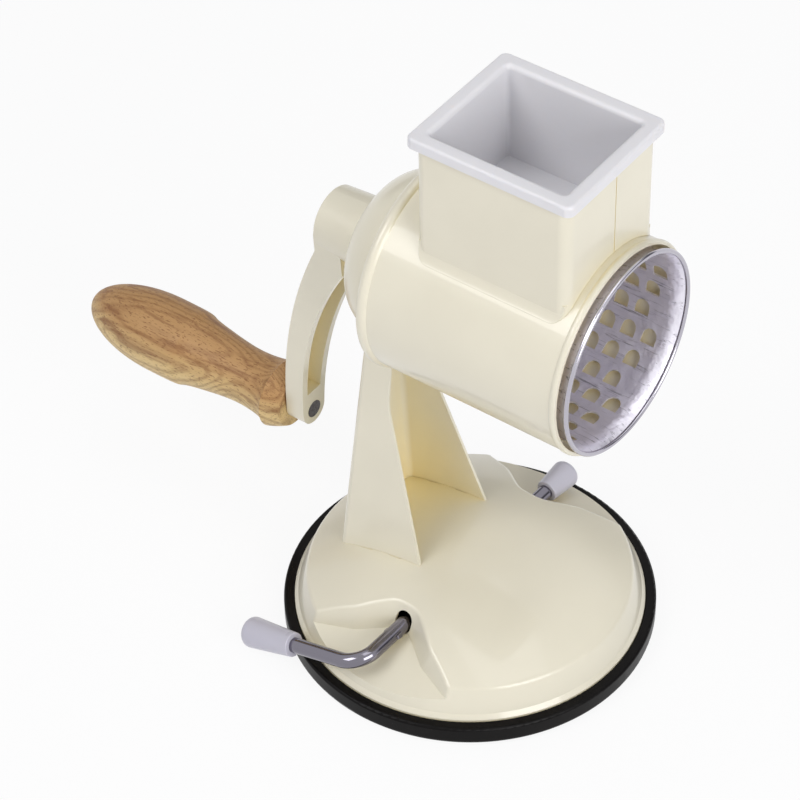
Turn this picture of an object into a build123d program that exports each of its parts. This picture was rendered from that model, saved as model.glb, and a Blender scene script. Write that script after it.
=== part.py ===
from build123d import *
from math import acos, atan, atan2, cos, degrees, hypot, radians, sin, sqrt, tan
import os

# Hand cranked drum grater on a rubber suction foot. Millimetres, +Z up.
# Origin: centre of the foot, on the table. +X runs along the barrel to its open mouth.
# The lever's grip is on the -Y side, the crank is at the closed end.

# ---------------------------------------------------------------- driving dimensions
sheet = 1.2               # wall of all pressed sheet pieces
seat_gap = 0.1            # between curved pieces that are seated on each other
turn_gap = 0.05           # radial, between a shaft and its bearing
free_gap = 0.35           # between pieces that move past each other

# rubber foot
foot_radius = 77.5
foot_height = 9.0
foot_contact_width = 4.5  # flat ring that touches the table
foot_lip = 2.5            # from the flat ring to the rubber's outside
rubber_floor = 5.0        # top of the rubber under the shell's edge
rubber_middle = 7.0       # top of the thick middle
rubber_middle_radius = 30.0
rubber_hollow = 4.0       # how far the underside rises in the middle
rubber_step = 10.0        # slope between the middle and the floor
rubber_round = 1.2

# base shell
shell_margin = 4.6        # rubber outside the shell's lower edge
shell_edge_top = 9.6      # end of the upright edge
wall_foot_radius = 71.4
wall_foot_height = 11.5
shoulder_radius = 67.0    # where the sloping wall meets the dome
shoulder_height = 23.6
shoulder_round = 2.5
dome_radius = 137.0       # sphere of the dome
dome_top = 40.0

# lever recesses in the shell, one each side
recess_apex = 46.3        # distance of the apex from the middle, at recess_level
recess_level = 20.0
recess_apex_half = 4.0
recess_knee_half = 17.4
recess_knee = 54.0
recess_mouth_half = 42.0
recess_mouth = 61.4
recess_apex_round = 7.0
recess_knee_round = 14.0
recess_draft = 22.0       # degrees, lean of the recess wall
recess_floor_slope = 0.30
recess_floor_height = 21.0
recess_floor_at = 48.5    # where the floor has that height
recess_lip_round = 2.2
lip_reach = 0.6           # tolerance when the lip's edges are picked
lip_lowest = 26.0
base_turn = -2.4          # degrees, lever and recesses against the barrel

# lever
rod_radius = 3.2
rod_height = 25.0         # axis of the rod
rod_bend_radius = 10.0
lever_reach = 72.5        # distance of the arm's plane from the middle
lever_drop = 17.5         # degrees that the arm falls at rest
grip_start = 36.0         # along the arm, from the rod's axis
grip_end = 61.8
grip_radius = 6.7
grip_mouth_radius = 5.1
grip_wall_end = 5.0       # plastic beyond the rod's end
cap_end_share = 0.42      # round of a cap's end, of its radius
cap_mouth_round = 0.5
rod_hole_width = 7.8
rod_hole_height = 9.6
rod_hole_below = 0.5      # gap under the rod
end_cap_start = 52.6
end_cap_end = 68.5
end_cap_radius = 6.3
end_cap_mouth_radius = 4.8
stake_width = 8.2         # flattened wings outside the hole
stake_length = 3.0
stake_thick = 1.8
stake_at = 50.5

# lift mechanism under the dome
cam_throw = 2.4
cam_radius = 6.0
cam_length = 9.0
cam_pin_radius = 1.0
yoke_play = 0.8           # round the cam
yoke_thick = 8.0          # along the rod
yoke_wall = 2.6
yoke_round = 2.0
yoke_crown = 2.2
lift_plate_radius = 28.0
lift_plate_thick = 2.2
lift_rest_gap = 0.3       # plate over the rubber
bracket_half_length = 24.0
bracket_half_width = 12.0
bracket_thick = 1.5
bracket_ear_at = 20.0     # middle of each ear
bracket_ear_half = 7.0
bracket_ear_below = 4.5   # metal under the rod

# column
column_half_foot = 24.6   # half width at column_foot_level
column_foot_level = 30.0
column_taper = 0.124      # lost half width for each millimetre of height
column_rear_foot = -48.6  # outside of the web at column_rear_level
column_rear_level = 36.0
column_rear_lean = 0.05
column_bend = 3.5         # outside radius of the two folds
column_front_foot = -8.1
column_front_foot_level = 37.6
column_front_knee = -29.2
column_knee_level = 108.3
column_knee_round = 30.0
column_into_barrel = 20.0 # its top below the barrel's axis
column_start = 22.0       # lowest reach of the tabs
tab_depth = 4.0           # tabs below the dome's underside
tab_width = 5.1
tab_clearance = 0.3
tab_rear = -34.9          # middle of the rear tabs
tab_front = -20.5

# barrel, along X
axis_height = 180.0
barrel_radius = 43.2
barrel_back = -21.8
barrel_front = 68.8
bead_crease = -16.8
bead_crest_radius = 44.5
bead_back_radius = 42.1
lip_height = 0.5          # rounded rim round the mouth
lip_length = 2.8

# rear cover
cover_front_radius = 35.0
cover_back = -42.85
cover_back_radius = 16.7
cover_edge = 1.2          # upright edge on the barrel's end wall

# crank shaft and its bearing
shaft_radius = 4.0
shaft_back = -60.0
shaft_square = 5.8        # across flats
shaft_square_back = -14.0
shaft_front = 8.0
bush_radius = 8.0
bush_back = -38.7
bush_flange_radius = 11.0
bush_flange_thick = 1.6
bush_nut_flats = 20.0
bush_nut_thick = 4.5
clip_radius = 6.5
clip_thick = 1.0
clip_groove = 0.6
washer_radius = 11.5
washer_gap = 0.1

# crank
hub_back = -64.8
hub_front = -40.0
hub_back_radius = 13.5
hub_growth = 0.06         # cone of the hub
hub_round = 1.0
crank_reach = 110.6       # from shaft to handle pin
crank_end_radius = 7.0
crank_top_half = 13.1
crank_front_x = -79.0     # front face at the pin
crank_back_x = -87.9
crank_rib = 3.3
crank_web = 2.6
pocket_bottom = 10.6      # above the handle pin

# handle
handle_gap = 0.4
handle_length = 109.0
tip_centre = 70.0         # widest place, from the collar's end
tip_fullness = 16.9
handle_pin_radius = 3.0
handle_pin_depth = 66.0   # inside the handle
handle_pin_head = 4.1
handle_head_thick = 2.0
sleeve_wall = 1.4
rivet_head_radius = 3.9
rivet_head_thick = 0.8

# drum
drum_radius = 39.3
drum_sheet = 0.8
drum_back_x = -15.0
drum_front_x = 66.0
hole_width = 6.4
hole_front = 0.7          # flat side from the middle, of half the width
hole_back = 0.3           # start of the round, of half the width
hole_sides = 6            # flats in the round
hole_rows = 24
hole_pitch = 9.4
hole_first_x = 61.5
hole_last_x = -5.0
hole_row_angle = -4.7     # of the first row, from +Y towards +Z
hub_socket_radius = 9.0
hub_socket_front = 10.5
hub_flange_radius = 15.0
hub_flange_thick = 1.5
rivet_circle = 12.2
rivet_radius = 1.4
rivet_head_growth = 1.8   # head against the shank
rivet_head_height = 0.8
shaft_hole_share = 0.78   # hole for the square shaft, of its width
drum_strips = 8           # cut between the rows of holes
rim_radius = 41.9
rim_front = 73.2
rim_roll = 0.95           # radius of the rolled edge
rim_flare = 1.7           # how much the sheet widens before the roll
rim_flare_middle = 0.27   # share of it reached half way
rim_roll_join = 0.6       # the sheet's end inside the roll, of the roll's radius

# hopper
hopper_back = -3.8
hopper_front = 63.3
hopper_half = 28.85
hopper_top = 262.1
hopper_corner = 4.5
hopper_flare = 2.4        # turned out foot along the barrel
hopper_flare_rise = 4.6
hopper_flare_out = 0.22   # the bend's middle, share of the flare
hopper_flare_up = 0.42    # and share of its height
hopper_foot_edge = 0.4
hopper_foot_corner = 6.0
hopper_foot_inset = 0.4
seam_y = 2.0
seam_width = 0.5
seam_depth = 0.6
seam_top = 258.5

# pusher
pusher_clearance = 0.3
pusher_overhang = 2.4
pusher_rim = 4.4
pusher_seat_gap = 0.2
pusher_round = 1.2
pusher_wall = 2.6
pusher_inner_round = 2.0
pusher_corner = 3.2
cavity_corner = 1.4
pusher_floor = 224.5
pusher_over_drum = 2.0


# ---------------------------------------------------------------- shared construction
os.makedirs("parts", exist_ok=True)
upright = Plane.XZ
along = Plane(origin=(0, 0, axis_height), x_dir=(1, 0, 0), z_dir=(0, -1, 0))
barrel_axis = Axis((0, 0, axis_height), (1, 0, 0))
sphere_centre = dome_top - dome_radius
rod_axis = Axis((0, 0, rod_height), (0, 1, 0))
crank_pin_height = axis_height - crank_reach
foot_contact_radius = foot_radius - foot_lip
shell_radius = foot_radius - shell_margin
column_top = axis_height - column_into_barrel


def spun(outline):
    """Turn an outline of (radius, height) round the vertical axis."""
    return revolve(upright * make_face(outline), Axis.Z)


def turned(outline):
    """Turn an outline of (x, radius) round the barrel's axis."""
    return revolve(along * make_face(outline), barrel_axis)


def rounded(face, place, radius):
    """Round the corner of a flat face that lies at a place."""
    corners = [v for v in face.vertices() if hypot(v.X - place[0], v.Y - place[1]) < 0.01]
    return fillet(corners, radius)


def rod_x(back, front, radius, height=axis_height):
    """Round bar along X."""
    bar = Cylinder(radius, front - back, rotation=(0, 90, 0))
    return Pos((back + front) / 2, 0, height) * bar


def rod_y(start, end, radius, height=rod_height):
    """Round bar along Y."""
    bar = Cylinder(radius, end - start, rotation=(90, 0, 0))
    return Pos(0, (start + end) / 2, height) * bar


def block(x0, x1, y0, y1, z0, z1):
    """Box between two corners."""
    box = Box(x1 - x0, y1 - y0, z1 - z0)
    return Pos((x0 + x1) / 2, (y0 + y1) / 2, (z0 + z1) / 2) * box


def swung(solid):
    """Turn a piece of the foot about the vertical axis, as the foot sits under the barrel."""
    return Rot(0, 0, base_turn) * solid


def save(name, solid):
    """Write one node."""
    solid.label = name
    export_step(solid, f"parts/{name}.step")


# ---------------------------------------------------------------- base
def shoulder_point(inset):
    """Where the sloping wall, moved in by inset, meets the dome's sphere."""
    run = shoulder_radius - wall_foot_radius
    rise = shoulder_height - wall_foot_height
    slope = run / rise
    shift = inset * hypot(run, rise) / rise
    start = wall_foot_radius - shift - wall_foot_height * slope
    sphere = dome_radius - inset
    a = slope * slope + 1
    b = 2 * (start * slope - sphere_centre)
    c = start * start + sphere_centre ** 2 - sphere ** 2
    height = (-b + sqrt(b * b - 4 * a * c)) / (2 * a)
    return start + slope * height, height


def base_form(inset):
    """Solid inside the base's skin, moved in by inset."""
    radius, height = shoulder_point(inset)
    run = shoulder_radius - wall_foot_radius
    rise = shoulder_height - wall_foot_height
    shift = inset * hypot(run, rise) / rise
    sphere = dome_radius - inset
    middle = (atan2(height - sphere_centre, radius) + radians(90)) / 2
    halfway = (sphere * cos(middle), sphere_centre + sphere * sin(middle))
    crown = (0, dome_top - inset)
    bottom = rubber_floor - inset
    sides = Polyline(
        (0, bottom),
        (shell_radius - inset, bottom),
        (shell_radius - inset, shell_edge_top),
        (wall_foot_radius - shift, wall_foot_height),
        (radius, height),
    )
    dome = ThreePointArc((radius, height), halfway, crown)
    return spun(sides + dome + Line(crown, (0, bottom)))


def recess_form(inset):
    """Wide V with a rounded apex that is pressed into the base, on the -Y side."""
    far = foot_radius * 1.3
    outline = Polyline(
        (-recess_mouth_half, -far),
        (-recess_mouth_half, -recess_mouth),
        (-recess_knee_half, -recess_knee),
        (-recess_apex_half, -recess_apex),
        (recess_apex_half, -recess_apex),
        (recess_knee_half, -recess_knee),
        (recess_mouth_half, -recess_mouth),
        (recess_mouth_half, -far),
        close=True,
    )
    plan = make_face(outline)
    apex = [v for v in plan.vertices() if abs(v.Y + recess_apex) < 0.01]
    plan = fillet(apex, recess_apex_round)
    knees = [v for v in plan.vertices() if abs(v.Y + recess_knee) < 0.01]
    plan = fillet(knees, recess_knee_round)
    start = recess_level / 2
    lean = tan(radians(recess_draft))
    grow = inset / cos(radians(recess_draft)) - (recess_level - start) * lean
    plan = offset(plan, amount=grow, kind=Kind.INTERSECTION)
    walls = extrude(Pos(0, 0, start) * plan, amount=dome_top, taper=-recess_draft)
    slope = degrees(atan(recess_floor_slope))
    floor_height = recess_floor_height - inset / cos(radians(slope))
    over_floor = Box(4 * foot_radius, 4 * foot_radius, 2 * dome_top,
                     align=(Align.CENTER, Align.CENTER, Align.MIN))
    over_floor = Pos(0, -recess_floor_at, floor_height) * Rot(slope, 0, 0) * over_floor
    return walls & over_floor


def both_sides(solid):
    """The solid and its mirror image across the XZ plane."""
    return solid + mirror(solid, Plane.XZ)


def column_half(height):
    return column_half_foot - column_taper * (height - column_foot_level)


def column_rear(height):
    return column_rear_foot + column_rear_lean * (height - column_rear_level)


def column_box(inset, low, high):
    """Tapered box inside the column's skin, open towards +X, with its folds rounded."""
    front = shoulder_radius
    slices = []
    for height in (low, high):
        rear = column_rear(height) + inset
        half = column_half(height) - inset
        size = Rectangle(front - rear, 2 * half)
        slices.append(Pos((front + rear) / 2, 0, height) * size)
    box = loft(slices)
    folds = [e for e in box.edges() if e.center().X < 0 and e.length > (high - low) * 0.9]
    return fillet(folds, column_bend - inset)


def column_sheet():
    return column_box(0, column_start, column_top) - column_box(sheet, 0, column_top * 1.2)


def tab_places():
    """Middle of each tab and the height of the dome there."""
    places = []
    for x in (tab_rear, tab_front):
        y = column_half(dome_top)
        places.append((x, y, sphere_centre + sqrt(dome_radius ** 2 - x * x - y * y)))
    return places


def tab_slots():
    """Slots in the dome for the column's tabs."""
    tool = None
    for x, y, height in tab_places():
        half = tab_width / 2 + tab_clearance
        side = sheet / 2 + tab_clearance
        middle = column_half(height) - sheet / 2
        slot = block(x - half, x + half, middle - side, middle + side,
                     height - 3 * sheet, height + 3 * sheet)
        tool = slot if tool is None else tool + slot
    return both_sides(tool)


def rod_holes():
    """Oval holes in the recess walls; the rod lies low in them."""
    low = rod_height - rod_radius - rod_hole_below
    centre = low + rod_hole_height / 2
    straight = rod_hole_height - rod_hole_width
    oval = SlotOverall(rod_hole_height, rod_hole_width, rotation=90)
    reach = recess_floor_at * 2.4
    hole = extrude(Plane.XZ * Pos(0, centre) * oval, amount=reach / 2, both=True)
    return hole


def make_base_shell():
    outside = base_form(0)
    shoulder = shoulder_point(0)[0]
    rims = [e for e in outside.edges().filter_by(GeomType.CIRCLE) if abs(e.radius - shoulder) < 0.05]
    outside = fillet(rims, shoulder_round)
    outside = outside - swung(both_sides(recess_form(0)))
    lips = [e for e in outside.edges() if is_lip(e)]
    outside = fillet(lips, recess_lip_round)
    inside = base_form(sheet) - swung(both_sides(recess_form(sheet)))
    return outside - inside - swung(rod_holes()) - tab_slots()


def is_lip(edge):
    """Edges where a recess breaks the dome."""
    c = edge.center()
    on_dome = abs(hypot(c.X, c.Y, c.Z - sphere_centre) - dome_radius) < lip_reach
    return on_dome and hypot(c.X, c.Y) < shoulder_radius - 2 * shoulder_round and c.Z > lip_lowest


def make_suction_cup():
    inner = shell_radius + seat_gap
    flat_inner = foot_contact_radius - foot_contact_width
    outline = Polyline((0, rubber_middle), (rubber_middle_radius, rubber_middle),
                       (rubber_middle_radius + rubber_step, rubber_floor), (inner, rubber_floor),
                       (inner, foot_height), (foot_radius, foot_height), (foot_radius, 0),
                       (flat_inner, 0))
    hollow_sphere = (flat_inner ** 2 + rubber_hollow ** 2) / (2 * rubber_hollow)
    halfway = rubber_hollow - hollow_sphere + sqrt(hollow_sphere ** 2 - flat_inner ** 2 / 4)
    hollow = ThreePointArc((flat_inner, 0), (flat_inner / 2, halfway), (0, rubber_hollow))
    face = make_face(outline + hollow + Line((0, rubber_hollow), (0, rubber_middle)))
    face = rounded(face, (foot_radius, 0), foot_lip * 0.98)
    face = rounded(face, (foot_radius, foot_height), rubber_round)
    face = rounded(face, (inner, foot_height), rubber_round / 2)
    return revolve(upright * face, Axis.Z)


def make_rod_bracket():
    outer = Pos(0, 0, sphere_centre) * Sphere(dome_radius - sheet - seat_gap)
    inner = Pos(0, 0, sphere_centre) * Sphere(dome_radius - sheet - seat_gap - bracket_thick)
    web = block(-bracket_half_width, bracket_half_width, -bracket_half_length,
                bracket_half_length, 0, dome_top) & (outer - inner)
    low = rod_height - rod_radius - bracket_ear_below
    ear = block(-bracket_ear_half, bracket_ear_half, bracket_ear_at - bracket_thick / 2,
                bracket_ear_at + bracket_thick / 2, low, dome_top) & outer
    bracket = web + both_sides(ear)
    bore = rod_y(-lever_reach, lever_reach, rod_radius + turn_gap)
    return bracket - bore


def make_column():
    sheet_part = column_sheet()
    far = foot_radius
    lean = (column_front_knee - column_front_foot) / (column_knee_level - column_front_foot_level)
    front_start = column_front_foot + lean * (column_start - column_front_foot_level)
    front = FilletPolyline((front_start, column_start), (column_front_knee, column_knee_level),
                           (column_front_knee, column_top), radius=column_knee_round)
    side = front + Polyline((column_front_knee, column_top), (-far, column_top),
                            (-far, column_start), (front_start, column_start))
    profile = extrude(upright * make_face(side), amount=far, both=True)
    column = sheet_part & profile
    tabs = None
    for x, y, height in tab_places():
        half = tab_width / 2
        low = height - sheet - tab_depth
        tab = block(x - half, x + half, 0, far, low, height + sheet) & sheet_part
        tabs = tab if tabs is None else tabs + tab
    seat = Pos(0, 0, sphere_centre) * Sphere(dome_radius + seat_gap)
    return column - seat - cover_form(-seat_gap) + both_sides(tabs)


# ---------------------------------------------------------------- barrel and cover
def cover_form(inset):
    """Solid inside the rear cover's skin, moved in by inset."""
    edge = barrel_back - cover_edge
    start_radius = cover_front_radius - inset
    end_radius = cover_back_radius - inset * 0.5
    depth = edge - cover_back - inset
    radial = start_radius - end_radius
    halfway = (edge - depth * sin(radians(45)), end_radius + radial * cos(radians(45)))
    outline = Polyline((edge - depth, end_radius), (edge - depth, 0), (barrel_back, 0),
                       (barrel_back, start_radius), (edge, start_radius))
    outline += ThreePointArc((edge, start_radius), halfway, (edge - depth, end_radius))
    return turned(outline)


def make_rear_cover():
    hub_radius = hub_back_radius + hub_growth * (cover_back - hub_back)
    opening = rod_x(cover_back * 1.2, barrel_back, hub_radius + free_gap)
    return cover_form(0) - cover_form(sheet) - opening


def make_barrel():
    inner = barrel_radius - sheet
    wall_front = barrel_back + sheet
    crest_x = (barrel_back + bead_crease) / 2 + 0.4
    outline = Polyline((barrel_back, bush_radius + turn_gap), (barrel_back, bead_back_radius))
    outline += ThreePointArc((barrel_back, bead_back_radius), (crest_x - 0.6, bead_crest_radius),
                             (bead_crease, barrel_radius))
    lip_back = barrel_front - lip_length
    outline += Line((bead_crease, barrel_radius), (lip_back, barrel_radius))
    outline += ThreePointArc((lip_back, barrel_radius),
                             (barrel_front - lip_length / 2, barrel_radius + lip_height),
                             (barrel_front, barrel_radius))
    outline += Polyline((barrel_front, barrel_radius), (barrel_front, inner), (bead_crease, inner))
    outline += ThreePointArc((bead_crease, inner), (crest_x, bead_crest_radius - sheet),
                             (wall_front, bead_back_radius - sheet))
    outline += Polyline((wall_front, bead_back_radius - sheet),
                        (wall_front, bush_radius + turn_gap), (barrel_back, bush_radius + turn_gap))
    opening = block(hopper_back + sheet, hopper_front - sheet, -hopper_half + sheet,
                    hopper_half - sheet, axis_height, hopper_top)
    return turned(outline) - opening


def make_bearing_bush():
    flange_back = barrel_back + sheet
    body = rod_x(bush_back, flange_back, bush_radius)
    flange = rod_x(flange_back, flange_back + bush_flange_thick, bush_flange_radius)
    bore = rod_x(bush_back * 2, 0, shaft_radius + turn_gap)
    return body + flange - bore


def make_bush_nut():
    hexagon = RegularPolygon(bush_nut_flats / 2, 6, major_radius=False)
    nut = extrude(Plane.YZ * hexagon, amount=bush_nut_thick)
    nut = Pos(barrel_back - bush_nut_thick, 0, axis_height) * nut
    return nut - rod_x(bush_back, 0, bush_radius + turn_gap)


# ---------------------------------------------------------------- lever and lift
def make_lever_rod():
    fall = radians(lever_drop)
    tip = grip_end - grip_wall_end
    end = (-tip * cos(fall), -lever_reach, rod_height - tip * sin(fall))
    path = FilletPolyline((0, end_cap_end - grip_wall_end, rod_height),
                          (0, -lever_reach, rod_height), end, radius=rod_bend_radius)
    section = Plane(origin=path @ 0, z_dir=path % 0) * Circle(rod_radius)
    rod = sweep(section, path=path)
    wing = Box(stake_width, stake_length, stake_thick)
    wing = fillet(wing.edges().filter_by(Axis.Z), stake_thick / 2)
    wing = Pos(0, -stake_at, rod_height) * Rot(0, -lever_drop, 0) * wing
    return rod + wing - cam_pin_form(turn_gap / 2)


def cap_form(length, mouth_radius, end_radius, bore_depth):
    """Plastic cap along +Z with a blind bore and a rounded end."""
    bore = rod_radius + turn_gap / 2
    face = make_face(Polyline((0, bore_depth), (bore, bore_depth), (bore, 0), (mouth_radius, 0),
                              (end_radius, length), (0, length), close=True))
    face = rounded(face, (end_radius, length), end_radius * cap_end_share)
    face = rounded(face, (mouth_radius, 0), cap_mouth_round)
    return revolve(upright * face, Axis.Z)


def make_lever_cap():
    fall = radians(lever_drop)
    length = grip_end - grip_start
    cap = cap_form(length, grip_mouth_radius, grip_radius, length - grip_wall_end)
    start = (-grip_start * cos(fall), -lever_reach, rod_height - grip_start * sin(fall))
    return Plane(origin=start, z_dir=(-cos(fall), 0, -sin(fall))) * cap


def make_lever_end_cap():
    length = end_cap_end - end_cap_start
    cap = cap_form(length, end_cap_mouth_radius, end_cap_radius, length - grip_wall_end)
    return Plane(origin=(0, end_cap_start, rod_height), z_dir=(0, 1, 0)) * cap


def cam_pin_form(grow=0):
    length = 2 * (cam_radius - cam_throw) - 1
    pin = Cylinder(cam_pin_radius + grow, length + 2 * grow, rotation=(0, 90, 0))
    return Pos(0, 0, rod_height) * pin


def make_lift_cam():
    cam = rod_y(-cam_length / 2, cam_length / 2, cam_radius, rod_height - cam_throw)
    bore = rod_y(-cam_length, cam_length, rod_radius + turn_gap / 2)
    return cam - bore - cam_pin_form(turn_gap / 2)


def make_lift_yoke():
    half_slot = cam_radius + cam_throw + yoke_play
    half = half_slot + yoke_wall
    slot_low = rod_height - cam_throw - cam_radius - yoke_play
    slot_high = rod_height - cam_throw + cam_radius + yoke_play
    plate_top = rubber_middle + lift_rest_gap + lift_plate_thick
    frame = block(-half, half, -yoke_thick / 2, yoke_thick / 2, plate_top, slot_high + yoke_crown)
    frame = fillet(frame.edges().filter_by(Axis.Y), yoke_round)
    window = block(-half_slot, half_slot, -yoke_thick, yoke_thick, slot_low, slot_high)
    foot = Pos(0, 0, plate_top) * Box(2 * half, yoke_thick, yoke_wall,
                                      align=(Align.CENTER, Align.CENTER, Align.MIN))
    return frame + foot - window


def make_lift_plate():
    low = rubber_middle + lift_rest_gap
    plate = Cylinder(lift_plate_radius, lift_plate_thick,
                     align=(Align.CENTER, Align.CENTER, Align.MIN))
    return Pos(0, 0, low) * chamfer(plate.edges(), lift_plate_thick / 4)


# ---------------------------------------------------------------- crank and handle
def crank_front_curve():
    low = (crank_front_x, crank_pin_height)
    return low, (crank_front_x + 5.2, crank_pin_height + 42.6), (-52.0, crank_pin_height + 94.0)


def crank_back_curve():
    low = (crank_back_x, crank_pin_height)
    return low, (crank_back_x + 3.3, crank_pin_height + 36.6), (hub_back, crank_pin_height + 101.6)


def crank_side_view():
    """Curved side of the arm, between its front and back faces."""
    front_low, front_mid, front_top = crank_front_curve()
    back_low, back_mid, back_top = crank_back_curve()
    bottom = crank_pin_height - crank_end_radius * 1.2
    hub_middle = axis_height
    outline = ThreePointArc(front_low, front_mid, front_top)
    outline += Polyline(front_top, (front_top[0], hub_middle), (hub_back, hub_middle), back_top)
    outline += ThreePointArc(back_top, back_mid, back_low)
    outline += Polyline(back_low, (back_low[0], bottom), (front_low[0], bottom), front_low)
    return extrude(upright * make_face(outline), amount=crank_top_half, both=True)


def crank_front_view(inset, low):
    """The arm seen along the barrel: a taper from the hub to a round end."""
    top_half = crank_top_half - inset
    low_half = crank_end_radius - inset
    taper = (top_half - low_half) / crank_reach
    start_half = low_half + taper * (low - crank_pin_height)
    outline = Polyline((-start_half, low), (-top_half, axis_height),
                       (top_half, axis_height), (start_half, low), close=True)
    face = Plane.YZ * make_face(outline)
    return extrude(face, amount=crank_back_x * 2)


def make_crank_arm():
    arm = crank_side_view()
    taper = crank_front_view(0, crank_pin_height)
    round_end = rod_x(crank_back_x * 2, 0, crank_end_radius, crank_pin_height)
    arm = arm & (taper + round_end)
    back_low, back_mid, back_top = crank_back_curve()
    floor_points = [(x + crank_web, z) for x, z in (back_low, back_mid, back_top)]
    pocket_side = ThreePointArc(*floor_points)
    pocket_side += Polyline(floor_points[2], (0, floor_points[2][1]), (0, floor_points[0][1]),
                            floor_points[0])
    pocket = extrude(upright * make_face(pocket_side), amount=crank_top_half, both=True)
    pocket = pocket & crank_front_view(crank_rib, crank_pin_height + pocket_bottom)
    hub = Polyline((hub_back, 0), (hub_back, hub_back_radius - hub_round))
    hub += RadiusArc((hub_back, hub_back_radius - hub_round),
                     (hub_back + hub_round, hub_back_radius + hub_growth * hub_round), hub_round)
    hub_end_radius = hub_back_radius + hub_growth * (hub_front - hub_back)
    hub += Polyline((hub_back + hub_round, hub_back_radius + hub_growth * hub_round),
                    (hub_front, hub_end_radius), (hub_front, 0), (hub_back, 0))
    crank = (arm - pocket) + turned(hub)
    bore = rod_x(shaft_back, 0, shaft_radius + turn_gap / 2)
    pin_hole = rod_x(crank_back_x * 2, 0, handle_pin_radius + turn_gap / 2, crank_pin_height)
    head_seat = rod_x(crank_front_x - rivet_head_thick, 0, rivet_head_radius + turn_gap / 2,
                      crank_pin_height)
    return crank - bore - pin_hole - head_seat


def make_crank_shaft():
    body = rod_x(shaft_back, shaft_square_back, shaft_radius)
    square = block(shaft_square_back, shaft_front, -shaft_square / 2, shaft_square / 2,
                   axis_height - shaft_square / 2, axis_height + shaft_square / 2)
    groove_back = barrel_back + sheet + bush_flange_thick + washer_gap
    groove = rod_x(groove_back, groove_back + clip_thick, shaft_radius * 2)
    core = rod_x(shaft_back, 0, shaft_radius - clip_groove)
    return body + square - (groove - core)


def make_shaft_clip():
    back = barrel_back + sheet + bush_flange_thick + washer_gap
    ring = rod_x(back, back + clip_thick, clip_radius)
    ring -= rod_x(bush_back, 0, shaft_radius - clip_groove)
    gap = block(back, back + clip_thick, -shaft_radius / 2, shaft_radius / 2,
                axis_height, axis_height + 2 * clip_radius)
    return ring - gap


def make_thrust_washer():
    ring = rod_x(hub_front + washer_gap, bush_back - washer_gap, washer_radius)
    return ring - rod_x(hub_back, 0, shaft_radius + turn_gap / 2)


def make_handle_pin():
    start = crank_back_x - handle_gap - handle_pin_depth
    pin = rod_x(start, crank_front_x, handle_pin_radius, crank_pin_height)
    inner_head = rod_x(start, start + handle_head_thick, handle_pin_head, crank_pin_height)
    outer_head = rod_x(crank_front_x - rivet_head_thick, crank_front_x + 0.2, rivet_head_radius,
                       crank_pin_height)
    return pin + inner_head + outer_head


def handle_x(distance):
    """X of a section at a distance from the handle's collar end."""
    return crank_back_x - handle_gap - distance


def sleeve_outer():
    return handle_pin_radius + turn_gap + sleeve_wall


def make_wooden_handle():
    bore_end = handle_pin_depth + handle_head_thick
    bore = sleeve_outer() + turn_gap / 2
    collar = (handle_x(8), 15.2)
    tip = EllipticalCenterArc((handle_x(tip_centre), 0), handle_length - tip_centre, tip_fullness,
                              start_angle=90, arc_size=90)
    grip = Spline(collar, (handle_x(14), 12.9), (handle_x(24), 12.1), (handle_x(38), 13.3),
                  (handle_x(52), 15.7), (handle_x(tip_centre), tip_fullness),
                  tangents=((-1, -1), (-1, 0)))
    mouth = ThreePointArc((handle_x(0), 11.8), (handle_x(4), 13.8), collar)
    bore_lines = Polyline((handle_x(handle_length), 0), (handle_x(bore_end), 0),
                          (handle_x(bore_end), bore), (handle_x(0), bore), (handle_x(0), 11.8))
    pin_plane = Plane(origin=(0, 0, crank_pin_height), x_dir=(1, 0, 0), z_dir=(0, -1, 0))
    pin_axis = Axis((0, 0, crank_pin_height), (1, 0, 0))
    return revolve(pin_plane * make_face(grip + tip + bore_lines + mouth), pin_axis)


def make_handle_sleeve():
    back = handle_x(handle_pin_depth - handle_head_thick - washer_gap)
    tube = rod_x(back, handle_x(0), sleeve_outer(), crank_pin_height)
    return tube - rod_x(back * 2, 0, handle_pin_radius + turn_gap, crank_pin_height)


# ---------------------------------------------------------------- drum
def hole_tool():
    """D shaped punch at the drum's top, flat edge on the leading side."""
    half = hole_width / 2
    round_points = []
    for step in range(hole_sides + 1):
        turn = radians(180 / hole_sides * step)
        round_points.append((half * cos(turn), -half * (hole_back + sin(turn))))
    flat = half * hole_front
    outline = Polyline((half, flat), *round_points, (-half, flat), close=True)
    face = Plane(origin=(0, 0, drum_radius - 3 * drum_sheet), x_dir=(1, 0, 0),
                 z_dir=(0, 0, 1)) * make_face(outline)
    return extrude(face, amount=5 * drum_sheet)


def row_turn(row):
    """Turn of a row of holes about the axis, from the top."""
    return hole_row_angle - row * 360 / hole_rows - 90


def drum_holes(row):
    """One row of holes, shifted by a third of the pitch from the row before."""
    tool = hole_tool()
    copies = []
    x = hole_first_x - ((row + 1) % 3) * hole_pitch / 3
    while x > hole_last_x:
        copies.append(Pos(x, 0, axis_height) * Rot(row_turn(row), 0, 0) * tool)
        x -= hole_pitch
    return copies


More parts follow.
